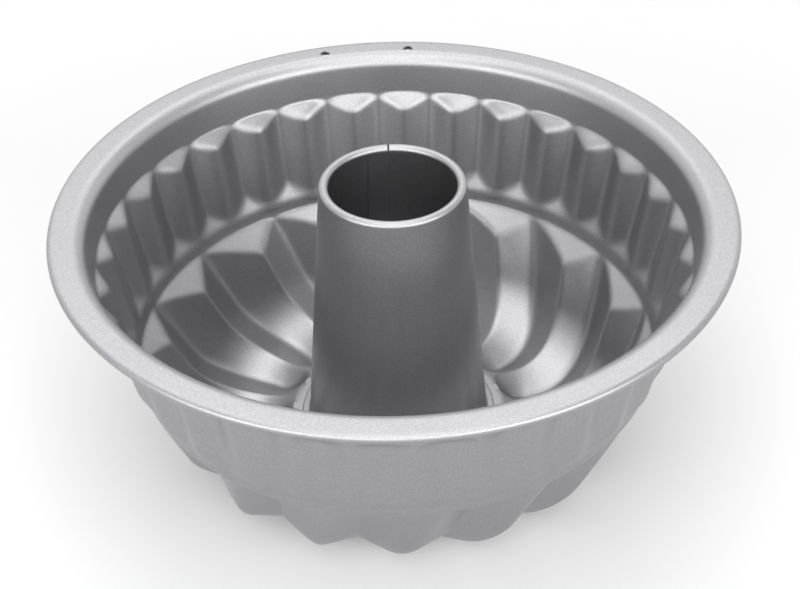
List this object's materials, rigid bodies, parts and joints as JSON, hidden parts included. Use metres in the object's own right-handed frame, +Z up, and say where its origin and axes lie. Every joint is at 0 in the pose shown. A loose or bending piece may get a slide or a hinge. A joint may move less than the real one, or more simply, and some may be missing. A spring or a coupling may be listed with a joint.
{
  "type": "fluted tube pan",
  "caption": "Round baking pan with a rolled rim, straight upper flutes, swirled lower flutes and an open tube up its middle, for ring cakes.",
  "frame": {"origin": "on the table, under the middle of the pan as it stands on the lobes of its lower flutes", "axes": "+Z up the tube's axis, +Y towards the back, where the two hanging holes and the tube's seam are, +X to the right"},
  "size_m": [0.2468, 0.2468, 0.1143],
  "materials": {
    "shell_coat": "satin silver-grey non-stick coating with fine speckle",
    "tube_coat": "satin silver-grey non-stick coating with fine speckle"
  },
  "bodies": {
    "root": {"fluted_shell": "shell_coat", "centre_tube": "tube_coat"}
  },
  "joints": []
}
